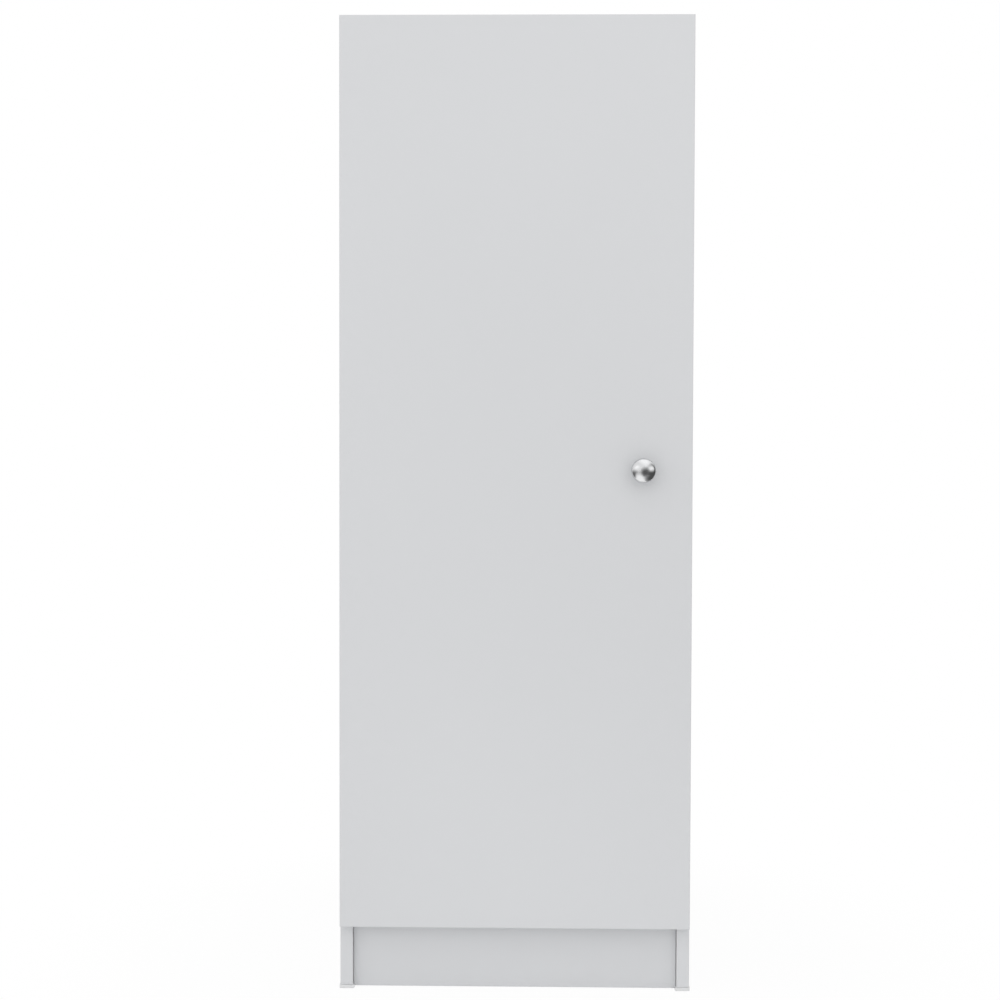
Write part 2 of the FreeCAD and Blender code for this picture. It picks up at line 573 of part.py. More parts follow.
# Floor glides, nailed under the side panels: a plain tail as wide as the board, and a nose at
# the board's end that stands out round its foot. The front noses stop short of the kick board.
GLIDE_OUTLINE = [
    ("-glide_lip", "-glide_lip"), ("board + glide_inner_lip", "-glide_lip"),
    ("board + glide_inner_lip", "kick_recess - glide_kick_gap"),
    ("board - glide_waist", "kick_recess - glide_kick_gap"), ("board - glide_waist", "glide_long"),
    ("glide_waist", "glide_long"), ("glide_waist", "kick_recess - glide_kick_gap"),
    ("-glide_lip", "kick_recess - glide_kick_gap"),
]


def glide(label, corner_x, corner_y, sign_x, sign_y):
    """One glide, worked from an outer corner of its side panel inwards along X and Y."""
    points = [("%s(%s)" % (sign_x, px), "%s(%s)" % (sign_y, py)) for px, py in GLIDE_OUTLINE]
    moulding = padded(label + "_moulding", "XY_Plane", points, "glide_thick")
    doc.recompute()
    block = moulding.Tip
    under = [i for i, face in enumerate(block.Shape.Faces, start=1) if face.BoundBox.ZMax < 1e-6]
    bevel = moulding.newObject("PartDesign::Chamfer", label + "_bevel")
    bevel.Base = (block, ["Face%d" % under[0]])
    bevel.setExpression("Size", e("glide_bevel"))
    place(moulding, corner_x, corner_y, "0")
    x = "(%s %s board / 2)" % (corner_x, sign_x or "+")
    y = "(%s %s glide_nail_at)" % (corner_y, sign_y or "+")
    node(cut(label + "_form", moulding, [
        rod("glide_nail_eye", x, y, "-cut_over", "+z", "nail_radius + nail_slack",
            "glide_thick + 2 * cut_over"),
        rod("glide_nail_seat", x, y, "-cut_over", "+z", "nail_head + head_slack",
            "glide_seat + cut_over"),
    ]), label)
    return x, y


glide_nails = []
for side, corner_x, sign_x, holes in (("left", LEFT, "", left_holes), ("right", RIGHT, "-", right_holes)):
    for end, corner_y, sign_y in (("front", FRONT, ""), ("back", REAR, "-")):
        x, y = glide("floor_glide_%s_%s" % (side, end), corner_x, corner_y, sign_x, sign_y)
        glide_nails.append(copy_of(nail_master, x, y, "glide_seat - nail_head_thick", "+z"))
        holes.append(rod("glide_nail_hole", x, y, "glide_thick", "+z",
                         "nail_radius + nail_slack", "nail_long"))
node(group("glide_nail_set", glide_nails), "glide_nails")

# Cup hinges. Every pivot is a place measured from the back edge of the door beside the hinges.
hx = HINGE_X
hy = DOOR_BACK


def at_x(alias):
    return "(%s + %s)" % (hx, alias)


def at_y(alias):
    return "(%s + %s)" % (hy, alias)


def spot(name):
    return Vector(number(at_x("pivot_%s_x" % name)), number(at_y("pivot_%s_y" % name)), 0)


def strip(p, q, rp, rq, low, high):
    """A bar with round ends of two radii and straight sides tangent to both, between two heights."""
    run = q - p
    length = math.hypot(run.x, run.y)
    lean = math.atan2(run.y, run.x)
    side = math.acos((rp - rq) / length)
    p1 = p + Vector(math.cos(lean + side), math.sin(lean + side), 0) * rp
    q1 = q + Vector(math.cos(lean + side), math.sin(lean + side), 0) * rq
    p2 = p + Vector(math.cos(lean - side), math.sin(lean - side), 0) * rp
    q2 = q + Vector(math.cos(lean - side), math.sin(lean - side), 0) * rq
    back = p - Vector(math.cos(lean), math.sin(lean), 0) * rp
    ahead = q + Vector(math.cos(lean), math.sin(lean), 0) * rq
    wire = Part.Wire([
        Part.LineSegment(p1, q1).toShape(), Part.Arc(q1, ahead, q2).toShape(),
        Part.LineSegment(q2, p2).toShape(), Part.Arc(p2, back, p1).toShape(),
    ])
    solid = Part.Face(wire).extrude(Vector(0, 0, high - low))
    solid.translate(Vector(0, 0, low))
    return solid


def pin_hole(p, radius, low, high):
    return Part.makeCylinder(radius, high - low, Vector(p.x, p.y, low))


def made(name, shape, x, y, z):
    obj = doc.addObject("Part::Feature", name)
    obj.Shape = shape
    obj.Placement = Placement(Vector(x, y, z), Rotation())
    return obj


A, B, C, D = spot("a"), spot("b"), spot("c"), spot("d")
KNEE = Vector(number(at_x("knee_x")), number(at_y("knee_y")), 0)
arm_pins = []
cup_pins = []
cup_screws = []
plate_screws = []
arm_screws = []
door_holes = []
front_now = number(FRONT)
inner_face = number(IN_LEFT)
ridge_top = inner_face + size("ridge_tall")

# Outer link: two cranked plates, one on each side of the arm.
over = size("cut_over")
outer_low, outer_high = size("outer_from"), size("outer_to")
plates = []
for low, high in ((outer_low, outer_high), (-outer_high, -outer_low)):
    plate = strip(B, KNEE, size("outer_eye_b"), size("outer_knee"), low, high)
    plate = plate.fuse(strip(KNEE, A, size("outer_knee"), size("outer_eye_a"), low, high))
    plate = plate.removeSplitter()
    for p, rivet in ((B, "rivet_b"), (A, "rivet_a")):
        eye_hole = pin_hole(p, size(rivet) + size("running_gap"), low - over, high + over)
        plate = plate.cut(eye_hole)
    plates.append(plate)
outer_shape = Part.Compound(plates)

# Inner link: one bar in the middle; its hole on the cup's rivet is wide, because this is the
# pivot at which the four-bar linkage is left open.
half = size("inner_half")
open_hole = size("rivet_d") + size("open_pivot_gap")
inner_shape = strip(C, D, size("inner_bar"), size("inner_bar"), -half, half)
for p, eye_radius in ((C, size("inner_eye_c")), (D, open_hole + size("inner_eye_wall"))):
    inner_shape = inner_shape.fuse(pin_hole(p, eye_radius, -half, half))
inner_shape = inner_shape.removeSplitter()
for p, hole_radius in ((C, size("rivet_c") + size("running_gap")), (D, open_hole)):
    inner_shape = inner_shape.cut(pin_hole(p, hole_radius, -half - over, half + over))

# Arm: a channel over the plate's ridge, with two cheeks that reach forward into the cup.
web_low = ridge_top + size("arm_gap")
web_high = web_low + size("arm_web")
side_low = size("ridge_half") + size("arm_side_gap")
side_high = side_low + size("arm_side_thick")
arm_start = front_now + size("ridge_front")
arm_long = size("ridge_long") + size("arm_tail")
arm_shape = Part.makeBox(size("arm_web"), arm_long, 2 * side_high,
                         Vector(web_low, arm_start, -side_high))
wing_top = inner_face + size("wing_thick") + size("arm_side_gap")
for low in (side_low, -side_high):
    arm_shape = arm_shape.fuse(Part.makeBox(web_high - wing_top, arm_long, side_high - side_low,
                                            Vector(wing_top, arm_start, low)))
heel_radius = size("arm_heel")
heel = Vector(web_low + heel_radius, arm_start + size("arm_heel_back"), 0)
cheek_low, cheek_high = size("cheek_from"), size("cheek_to")
for low, high in ((cheek_low, cheek_high), (-cheek_high, -cheek_low)):
    arm_shape = arm_shape.fuse(strip(C, A, size("arm_eye_c"), size("arm_eye_a"), low, high))
    arm_shape = arm_shape.fuse(strip(A, heel, size("arm_eye_a"), heel_radius, low, high))
spine_start = A + Vector(-size("arm_spine_in"), size("arm_spine_back"), 0)
spine = strip(spine_start, heel, size("arm_spine"), heel_radius, -cheek_high, cheek_high)
arm_shape = arm_shape.fuse(spine).removeSplitter()
for p, rivet in ((A, "rivet_a"), (C, "rivet_c")):
    hole_radius = size(rivet) + size("rivet_slack")
    arm_shape = arm_shape.cut(pin_hole(p, hole_radius, -cheek_high - over, cheek_high + over))
for back in ("arm_screw_back", "arm_adjust_back"):
    start = Vector(web_low - over, front_now + size(back), 0)
    screw_hole = Part.makeCylinder(size("arm_screw_hole"), size("arm_web") + 2 * over, start,
                                   Vector(1, 0, 0))
    arm_shape = arm_shape.cut(screw_hole)

# Cup: a thin bowl with a flange and two wings, notched on the side where the links leave it.
cup_x = at_x("cup_at")
bowl = turned("bowl", [
    ("0", "-cup_deep"), ("cup_radius - cup_corner", "-cup_deep"),
    ("cup_radius", "cup_corner - cup_deep"), ("cup_radius", "flange_thick"),
    ("cup_radius - cup_wall", "flange_thick"),
    ("cup_radius - cup_wall", "cup_corner_inside + cup_wall - cup_deep"),
    ("cup_radius - cup_wall - cup_corner_inside", "cup_wall - cup_deep"),
    ("0", "cup_wall - cup_deep"),
])
flange = padded("flange", "XY_Plane", [
    ("-cup_radius", "-flange_half"), ("wing_near", "-flange_half"), ("wing_near", "-wing_half"),
    ("wing_far", "-wing_half"), ("wing_far", "-flange_half"),
    ("cup_radius + flange_back", "flange_corner - flange_half"),
    ("cup_radius + flange_back", "flange_half - flange_corner"),
    ("wing_far", "flange_half"), ("wing_far", "wing_half"),
    ("wing_near", "wing_half"), ("wing_near", "flange_half"), ("-cup_radius", "flange_half"),
], "flange_thick", [
    ("0", "0", "cup_radius - cup_wall"),
    ("wing_hole_back", "-wing_hole", "wood_screw + screw_hole_slack"),
    ("wing_hole_back", "wing_hole", "wood_screw + screw_hole_slack"),
])
cup_blank = fuse("cup_blank", [bowl, flange])
cup_master = cut("cup_master", cup_blank, [
    box("cup_notch", "-cup_radius - cut_over", "-notch_half", "-notch_deep",
        "notch_long + cut_over", "2 * notch_half", "notch_deep + flange_thick + cut_over"),
    rod("rivet_b_hole", "pivot_b_x - cup_at", "-cup_radius - cut_over", "pivot_b_y", "+y",
        "rivet_b + rivet_slack", "2 * cup_radius + 2 * cut_over"),
    rod("rivet_d_hole", "pivot_d_x - cup_at", "-cup_radius - cut_over", "pivot_d_y", "+y",
        "rivet_d + rivet_slack", "2 * cup_radius + 2 * cut_over"),
])

# Mounting plate: a low wing for its two screws and a ridge that carries the arm.
wing = padded("wing", "XY_Plane", [
    ("-plate_half", "plate_corner - plate_screw_half - plate_end"),
    ("plate_corner - plate_half", "-plate_screw_half - plate_end"),
    ("plate_half - plate_corner", "-plate_screw_half - plate_end"),
    ("plate_half", "plate_corner - plate_screw_half - plate_end"),
    ("plate_half", "plate_screw_half + plate_end - plate_corner"),
    ("plate_half - plate_corner", "plate_screw_half + plate_end"),
    ("plate_corner - plate_half", "plate_screw_half + plate_end"),
    ("-plate_half", "plate_screw_half + plate_end - plate_corner"),
], "wing_thick", [
    ("0", "-plate_screw_half", "plate_screw_radius + head_slack"),
    ("0", "plate_screw_half", "plate_screw_radius + head_slack"),
])
ridge = padded("ridge", "XY_Plane", [
    ("ridge_front - plate_screw_back", "-ridge_half"),
    ("ridge_front + ridge_long - plate_screw_back", "-ridge_half"),
    ("ridge_front + ridge_long - plate_screw_back", "ridge_half"),
    ("ridge_front - plate_screw_back", "ridge_half"),
], "ridge_tall", [
    ("arm_screw_back - plate_screw_back", "0", "plate_screw_hole"),
    ("arm_adjust_back - plate_screw_back", "0", "plate_screw_hole"),
])
plate_master = fuse("plate_master", [wing, ridge])
arm_screw_master = turned("arm_screw_master", [
    ("0", "-arm_screw_long"), ("arm_screw - arm_screw_narrows", "-arm_screw_long"),
    ("arm_screw", "arm_screw_point - arm_screw_long"), ("arm_screw", "0"), ("arm_head", "0"),
    ("arm_head", "arm_head_rim"), ("arm_head - arm_head_slope", "arm_head_thick"),
    ("arm_socket", "arm_head_thick"), ("arm_socket", "arm_head_thick - arm_socket_deep"),
    ("0", "arm_head_thick - arm_socket_deep"),
])
rivet_a_master = turned("rivet_a_master", [
    ("0", "-outer_to - rivet_head_gap - rivet_head_thick"),
    ("rivet_head", "-outer_to - rivet_head_gap - rivet_head_thick"),
    ("rivet_head", "-outer_to - rivet_head_gap"), ("rivet_a", "-outer_to - rivet_head_gap"),
    ("rivet_a", "outer_to + rivet_head_gap"), ("rivet_head", "outer_to + rivet_head_gap"),
    ("rivet_head", "outer_to + rivet_head_gap + rivet_head_thick"),
    ("0", "outer_to + rivet_head_gap + rivet_head_thick"),
])

# The plate's outline runs along X for the depth and Y for the height, so a turn stands it up.
STAND = Rotation(Vector(0, 1, 0), Vector(0, 0, 1), Vector(1, 0, 0), "XYZ")
# The cup's outline has X across the door and Y along its height, opening towards the carcass.
FACE = Rotation(Vector(1, 0, 0), Vector(0, 0, -1), Vector(0, 1, 0), "XYZ")


def turned_copy(master, x, y, z, turn):
    link = doc.addObject("App::Link", master.Label + "_at")
    link.LinkedObject = master
    link.Placement = Placement(Vector(0, 0, 0), turn)
    for axis, text in (("x", x), ("y", y), ("z", z)):
        link.setExpression("Placement.Base." + axis, e(text))
    return link


for name, level in HINGES:
    z = number(level)
    node(made("outer", outer_shape, 0, 0, z), "outer_link_" + name)
    node(made("inner", inner_shape, 0, 0, z), "inner_link_" + name)
    node(made("arm", arm_shape, 0, 0, z), "hinge_arm_" + name)
    node(turned_copy(plate_master, IN_LEFT, "%s + plate_screw_back" % FRONT, level, STAND),
         "hinge_plate_" + name)
    node(turned_copy(cup_master, cup_x, hy, level, FACE), "hinge_cup_" + name)
    arm_pins.append(copy_of(rivet_a_master, at_x("pivot_a_x"), at_y("pivot_a_y"), level))
    arm_pins.append(rod("rivet_c_pin", at_x("pivot_c_x"), at_y("pivot_c_y"),
                        "%s - cheek_to" % level, "+z", "rivet_c", "2 * cheek_to"))
    for way in ("+z", "-z"):
        start = "%s %s outer_from" % (level, way[0])
        cup_pins.append(rod("rivet_b_pin", at_x("pivot_b_x"), at_y("pivot_b_y"), start, way,
                            "rivet_b", "rivet_b_end - outer_from"))
    cup_pins.append(rod("rivet_d_pin", at_x("pivot_d_x"), at_y("pivot_d_y"),
                        "%s - cup_radius + rivet_d_wall" % level, "+z", "rivet_d",
                        "2 * (cup_radius - rivet_d_wall)"))
    for sign in ("-", "+"):
        plate_z = "(%s %s plate_screw_half)" % (level, sign)
        plate_y = "(%s + plate_screw_back)" % FRONT
        plate_screws.append(copy_of(plate_screw_master, "%s + wing_thick" % IN_LEFT, plate_y,
                                    plate_z, "+x"))
        left_holes.append(rod("plate_screw_hole", IN_LEFT, plate_y, plate_z, "-x",
                              "plate_screw_radius + joinery_slack", "plate_screw_deep + bore_extra"))
        wing_z = "(%s %s wing_hole)" % (level, sign)
        wing_x = "(%s + wing_hole_back)" % cup_x
        cup_screws.append(copy_of(screw_master, wing_x, "%s + flange_thick" % hy, wing_z, "-y"))
        door_holes.append(rod("cup_screw_hole", wing_x, hy, wing_z, "-y",
                              "wood_screw + joinery_slack",
                              "wood_screw_long - flange_thick + bore_extra"))
    for back in ("arm_screw_back", "arm_adjust_back"):
        arm_screws.append(copy_of(arm_screw_master, "%s + ridge_tall + arm_gap + arm_web" % IN_LEFT,
                                  "%s + %s" % (FRONT, back), level, "+x"))
    door_holes.append(rod("cup_bore", cup_x, "%s + cut_over" % hy, level, "-y",
                          "cup_radius + cup_slack", "cup_deep + cut_over + cup_end_gap"))
node(group("arm_pin_set", arm_pins), "hinge_arm_rivets")
node(group("cup_pin_set", cup_pins), "hinge_cup_rivets")
node(group("cup_screw_set", cup_screws), "hinge_cup_screws")
node(group("plate_screw_set", plate_screws), "hinge_plate_screws")
node(group("arm_screw_set", arm_screws), "hinge_arm_screws")

# Door, knob and bumpers.
knob_x = "(%s - door_reveal - knob_edge)" % RIGHT
knob_z = "((%s + %s) / 2 + knob_rise)" % (DOOR_LOW, DOOR_HIGH)
door_holes.append(rod("knob_hole", knob_x, "%s - cut_over" % DOOR_FACE, knob_z, "+y",
                      "knob_screw_radius + knob_screw_slack", "door_thick + 2 * cut_over"))
door_slab = padded("door_slab", "XZ_Plane", [
    ("door_reveal - width / 2", DOOR_LOW), ("width / 2 - door_reveal", DOOR_LOW),
    ("width / 2 - door_reveal", DOOR_HIGH), ("door_reveal - width / 2", DOOR_HIGH),
], "door_thick")
place(door_slab, "0", DOOR_BACK, "0")
node(cut("door_cut", door_slab, door_holes), "door_panel")

belly = doc.addObject("Part::Ellipsoid", "knob_belly_form")
belly.setExpression("Radius1", e("knob_belly"))
belly.setExpression("Radius2", e("knob_radius"))
belly.setExpression("Radius3", e("knob_radius"))
belly.Angle1 = -90
belly.Angle2 = 90
place(belly, knob_x, "%s - knob_length + knob_belly" % DOOR_FACE, knob_z, "-y")
neck = rod("knob_neck_form", knob_x, DOOR_FACE, knob_z, "-y", "knob_neck", "knob_length - knob_belly")
foot = rod("knob_foot_form", knob_x, DOOR_FACE, knob_z, "-y", "knob_foot", "knob_foot_thick")
knob_blank = fuse("knob_blank", [belly, neck, foot])
node(cut("knob_form", knob_blank, [
    rod("knob_bore", knob_x, "%s + cut_over" % DOOR_FACE, knob_z, "-y",
        "knob_screw_radius + joinery_slack", "knob_bore_deep + cut_over"),
]), "knob")
knob_screw_end = "(door_thick + knob_bore_deep - knob_screw_short)"
knob_screw_form = turned("knob_screw_form", [
    ("0", "-knob_screw_head_thick"),
    ("knob_screw_head - knob_screw_head_slope", "-knob_screw_head_thick"),
    ("knob_screw_head", "-knob_screw_head_rim"), ("knob_screw_head", "0"),
    ("knob_screw_radius", "0"), ("knob_screw_radius", knob_screw_end + " - knob_screw_point"),
    ("knob_screw_radius - knob_screw_narrows", knob_screw_end), ("0", knob_screw_end),
])
node(place(knob_screw_form, knob_x, DOOR_BACK, knob_z, "-y"), "knob_screw")
bumpers = []
for level in ("(%s + bumper_from_end)" % DOOR_LOW, "(%s - bumper_from_end)" % DOOR_HIGH):
    bumpers.append(rod("bumper", "%s - board / 2" % RIGHT, DOOR_BACK, level, "+y",
                       "bumper_radius", "bumper_thick"))
node(group("bumper_set", bumpers), "door_bumpers")

# Carcass boards.
side_tall = "height - glide_thick"
node(cut("left_board", box("left_blank", LEFT, FRONT, "glide_thick", "board", "side_depth",
                           side_tall), left_holes), "side_panel_left")
node(cut("right_board", box("right_blank", IN_RIGHT, FRONT, "glide_thick", "board", "side_depth",
                            side_tall), right_holes), "side_panel_right")
between = "width - 2 * board"
node(cut("top_board", box("top_blank", IN_LEFT, FRONT, TOP_DOWN, between, "side_depth", "board"),
         top_holes), "top_panel")
node(cut("bottom_board", box("bottom_blank", IN_LEFT, FRONT, "toe_height", between, "side_depth",
                             "board"), bottom_holes), "bottom_panel")
node(cut("wall_board", box("wall_blank", WALL_FROM, FRONT, BOTTOM_UP, "board", "side_depth",
                           "%s - %s" % (TOP_DOWN, BOTTOM_UP)), wall_holes), "partition_panel")
node(cut("kick", box("kick_blank", "%s + kick_side_gap" % IN_LEFT, kick_y, "kick_floor_gap",
                     "width - 2 * board - 2 * kick_side_gap", "kick_thick",
                     "toe_height - kick_floor_gap"), kick_holes), "kick_board")
node(cut("back", box("back_blank", "%s + back_inset" % LEFT, REAR, "toe_height + back_inset",
                     "width - 2 * back_inset", "back_thick",
                     "height - toe_height - 2 * back_inset"), back_holes), "back_panel")
node(group("cam_set", cams), "cam_housings")
node(group("bolt_set", bolts), "cam_bolts")
node(group("cap_set", caps), "cam_caps")
node(group("dowel_set", dowels), "dowels")
node(group("nail_set", nails), "back_nails")

doc.recompute()

# Nothing is written unless every object was built and every piece is sound.
for obj in doc.Objects:
    if "Invalid" in obj.State or "Error" in obj.State:
        raise RuntimeError("failed object: %s (%s)" % (obj.Label, obj.TypeId))
os.makedirs("parts", exist_ok=True)
for obj in nodes:
    shape = Part.getShape(obj)
    if shape.isNull() or not shape.isValid() or not shape.Solids:
        raise RuntimeError("bad shape: %s" % obj.Label)
for obj in nodes:
    shape = Part.getShape(obj)
    shape.exportStep("parts/%s.step" % obj.Label)
print("nodes:", len(nodes))
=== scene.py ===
import json
import math

import bmesh
import bpy
from mathutils import Euler, Matrix, Vector


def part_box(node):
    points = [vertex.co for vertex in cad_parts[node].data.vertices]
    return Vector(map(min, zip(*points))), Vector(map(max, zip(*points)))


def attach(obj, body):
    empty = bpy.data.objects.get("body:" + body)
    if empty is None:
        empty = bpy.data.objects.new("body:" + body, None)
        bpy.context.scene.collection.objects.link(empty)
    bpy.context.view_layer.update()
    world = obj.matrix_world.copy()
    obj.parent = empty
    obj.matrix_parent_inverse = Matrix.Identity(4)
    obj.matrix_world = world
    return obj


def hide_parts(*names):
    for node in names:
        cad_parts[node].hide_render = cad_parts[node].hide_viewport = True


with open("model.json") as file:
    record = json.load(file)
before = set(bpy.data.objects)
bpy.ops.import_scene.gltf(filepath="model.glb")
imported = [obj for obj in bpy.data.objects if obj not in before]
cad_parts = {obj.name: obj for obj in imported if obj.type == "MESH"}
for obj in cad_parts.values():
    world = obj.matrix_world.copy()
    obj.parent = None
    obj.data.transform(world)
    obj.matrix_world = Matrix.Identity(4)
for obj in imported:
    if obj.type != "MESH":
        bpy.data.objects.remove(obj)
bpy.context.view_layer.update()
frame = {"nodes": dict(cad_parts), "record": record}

# The looks of a tall broom cupboard: melamine boards with plastic edging, nickel cup hinges,
# a chrome knob and moulded fittings. Metres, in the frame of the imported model.

MM = 0.001
X, Y, Z = 0, 1, 2
NODES = frame["nodes"]
BODY_OF = {node: body for body, members in frame["record"]["behaviour"]["bodies"].items()
           for node in members}
SLOT_OF = {part["node"]: part["material_slot"] for part in frame["record"]["subparts"]}


# Finishes ----------------------------------------------------------------------------------

# The sockets of a Mix node that mixes two colours.
MIX_SHARE, MIX_FIRST, MIX_SECOND, MIX_RESULT = 0, 6, 7, 2
EVEN = (1.0, 1.0, 1.0)
WHITE = (1.0, 1.0, 1.0)


class Wire:
    """A socket inside a finish; sums on it add Math nodes."""

    def __init__(self, finish, socket):
        self.finish = finish
        self.socket = socket

    def math(self, operation, first, second):
        return self.finish.add("ShaderNodeMath", {"operation": operation}, {0: first, 1: second})

    def __add__(self, other):
        return self.math("ADD", self, other)

    def __radd__(self, other):
        return self.math("ADD", other, self)

    def __mul__(self, other):
        return self.math("MULTIPLY", self, other)

    def __rmul__(self, other):
        return self.math("MULTIPLY", other, self)

    def __gt__(self, other):
        return self.math("GREATER_THAN", self, other)

    def __lt__(self, other):
        return self.math("LESS_THAN", self, other)

    def __or__(self, other):
        return self.math("MAXIMUM", self, other)

    def __ror__(self, other):
        return self.math("MAXIMUM", other, self)


class Finish:
    """The nodes of a procedural material or of the world; every node comes from add()."""

    def __init__(self, name, kind="materials", end="ShaderNodeOutputMaterial"):
        self.owner = getattr(bpy.data, kind).new(name)
        self.owner.use_nodes = True
        self.end = end
        self.tree = self.owner.node_tree
        self.tree.nodes.clear()

    def fill(self, socket, value):
        """Gives one socket a link, a colour or a plain value."""
        if isinstance(value, Wire):
            self.tree.links.new(value.socket, socket)
        elif isinstance(value, tuple) and len(value) == 3 and len(socket.default_value) == 4:
            socket.default_value = (*value, 1.0)
        else:
            socket.default_value = value

    def add(self, kind, settings, sockets, out=0):
        """Any node: its settings are set first, then its sockets take values or links."""
        node = self.tree.nodes.new(kind)
        for word, value in settings.items():
            if word == "stops":
                while len(node.color_ramp.elements) < len(value):
                    node.color_ramp.elements.new(1.0)
                for stop, (position, colour) in zip(node.color_ramp.elements, value):
                    stop.position = position
                    stop.color = (*colour, 1.0)
            else:
                setattr(node, word, value)
        for key, value in sockets.items():
            self.fill(node.inputs[key], value)
        return Wire(self, node.outputs[out]) if node.outputs else None

    def close(self, shader, sockets):
        """Ends the nodes in one shader, and gives back the material or the world."""
        self.add(self.end, {}, {"Surface": self.add(shader, {}, sockets)})
        return self.owner

    def skin(self, colour, roughness, normal=None, **fixed):
        """Ends the nodes in one Principled shader, and gives back the material."""
        sockets = {"Base Color": colour, "Roughness": roughness, **fixed}
        if normal:
            sockets["Normal"] = normal
        return self.close("ShaderNodeBsdfPrincipled", sockets)

    def spot(self, stretch=EVEN):
        """The place on the object in metres, drawn out along the axes."""
        place = self.add("ShaderNodeTexCoord", {}, {}, "Object")
        return self.add("ShaderNodeVectorMath", {"operation": "MULTIPLY"}, {0: place, 1: stretch})

    def axis(self, letter):
        """One coordinate of the place, in metres."""
        return self.add("ShaderNodeSeparateXYZ", {}, {0: self.spot()}, letter)

    def noise(self, size, detail=2.0, rough=0.5, stretch=EVEN):
        """Soft noise from 0 to 1 whose lumps are about as large as size, in metres."""
        return self.add("ShaderNodeTexNoise", {}, {
            "Vector": self.spot(stretch), "Scale": 1.0 / size, "Detail": detail, "Roughness": rough})

    def flakes(self, size, stretch=EVEN, out="Color"):
        """Cells of that size, each with its own colour."""
        return self.add("ShaderNodeTexVoronoi", {}, {
            "Vector": self.spot(stretch), "Scale": 1.0 / size}, out)

    def blend(self, share, first, second):
        """The first colour where share is 0, the second where it is 1."""
        return self.add("ShaderNodeMix", {"data_type": "RGBA"}, {
            MIX_SHARE: share, MIX_FIRST: first, MIX_SECOND: second}, MIX_RESULT)

    def ramp(self, value, *stops):
        """A colour for each value, through stops that are a value and a colour each."""
        return self.add("ShaderNodeValToRGB", {"stops": stops}, {0: value})

    def relief(self, height, depth, normal=None):
        """Raises the surface by height, where 1 is depth metres."""
        sockets = {"Strength": 1.0, "Distance": depth, "Height": height}
        if normal:
            sockets["Normal"] = normal
        return self.add("ShaderNodeBump", {}, sockets)

    def fade(self, place, near, far, first, last):
        """first out to near, last from far on, and a smooth change between them."""
        reach = self.add("ShaderNodeVectorMath", {"operation": "LENGTH"}, {0: place}, "Value")
        return self.add("ShaderNodeMapRange", {"interpolation_type": "SMOOTHSTEP"}, {
            "Value": reach, "From Min": near, "From Max": far, "To Min": first, "To Max": last})

    def glow(self, strength):
        """White light given off by the surface."""
        return self.add("ShaderNodeEmission", {}, {"Color": WHITE, "Strength": strength})

    def seen(self):
        """1 where the eye, a reflection or a clear thing looks here, and 0 for other light."""
        rays = ("Is Camera Ray", "Is Glossy Ray", "Is Transmission Ray")
        eye, gloss, clear = (self.add("ShaderNodeLightPath", {}, {}, ray) for ray in rays)
        return eye | gloss | clear


def shade(colour, amount):
    """The same colour, lighter or darker."""
    return tuple(channel * amount for channel in colour)


BOARD_COLOUR = (0.652, 0.660, 0.674)
CAP_WHITE = (0.80, 0.80, 0.79)


def melamine(name, colour, shine=0.44):
    """Pressed melamine: an even colour, a fine pearl grain and a satin shine."""
    finish = Finish(name)
    cloud = finish.noise(0.35, 3.0)
    tint = finish.blend(cloud, shade(colour, 0.988), shade(colour, 1.012))
    pearl = finish.noise(0.9 * MM, 2.0, 0.6)
    press = finish.noise(14 * MM, 1.0)
    bumps = finish.relief(pearl, 0.018 * MM, finish.relief(press, 0.02 * MM))
    return finish.skin(tint, shine - 0.05 + 0.06 * pearl + 0.04 * cloud, bumps, IOR=1.49)


def edging_plastic(name, colour):
    """Calendered plastic edging: smoother than the boards, with faint lines along its run."""
    finish = Finish(name)
    cloud = finish.noise(0.2, 2.0)
    tint = finish.blend(cloud, shade(colour, 0.985), shade(colour, 1.02))
    lines = finish.noise(0.6 * MM, 2.0, 0.5, (1.0, 1.0, 0.02))
    return finish.skin(tint, 0.36 + 0.08 * lines, finish.relief(lines, 0.008 * MM), IOR=1.48)


def chipboard(name):
    """The raw core: pressed wood chips of many browns."""
    finish = Finish(name)
    chip_size, chip_stretch = 2.6 * MM, (1.0, 1.0, 1.6)
    chip = finish.flakes(chip_size, chip_stretch)
    tone = finish.add("ShaderNodeSeparateColor", {}, {0: chip}, "Red")
    dust = finish.noise(0.7 * MM, 4.0, 0.65)
    tint = finish.ramp(0.65 * tone + 0.35 * dust, (0.0, (0.17, 0.105, 0.055)),
                       (0.45, (0.36, 0.245, 0.14)), (1.0, (0.60, 0.46, 0.30)))
    gap = finish.flakes(chip_size, chip_stretch, "Distance")
    bumps = finish.relief(gap + 0.5 * dust, 0.25 * MM)
    return finish.skin(tint, 0.82 + 0.1 * dust, bumps, IOR=1.45)


def hardboard(name, rear):
    """Thin fibreboard: white lacquer inside, and bare pressed fibre from rear backwards."""
    finish = Finish(name)
    fibre = finish.noise(1.1 * MM, 5.0, 0.7, (1.0, 1.0, 0.55))
    patch = finish.noise(0.16, 4.0, 0.6)
    bare = finish.ramp(0.6 * fibre + 0.4 * patch, (0.2, (0.20, 0.125, 0.070)),
                       (0.5, (0.295, 0.195, 0.115)), (0.8, (0.40, 0.285, 0.180)))
    lacquer = finish.blend(patch, BOARD_COLOUR, shade(BOARD_COLOUR, 1.03))
    behind = finish.axis("Y") > rear
    bumps = finish.relief(fibre * (0.15 + 0.85 * behind), 0.12 * MM)
    return finish.skin(finish.blend(behind, lacquer, bare), 0.38 + 0.42 * behind + 0.08 * fibre,
                       bumps, IOR=1.47)


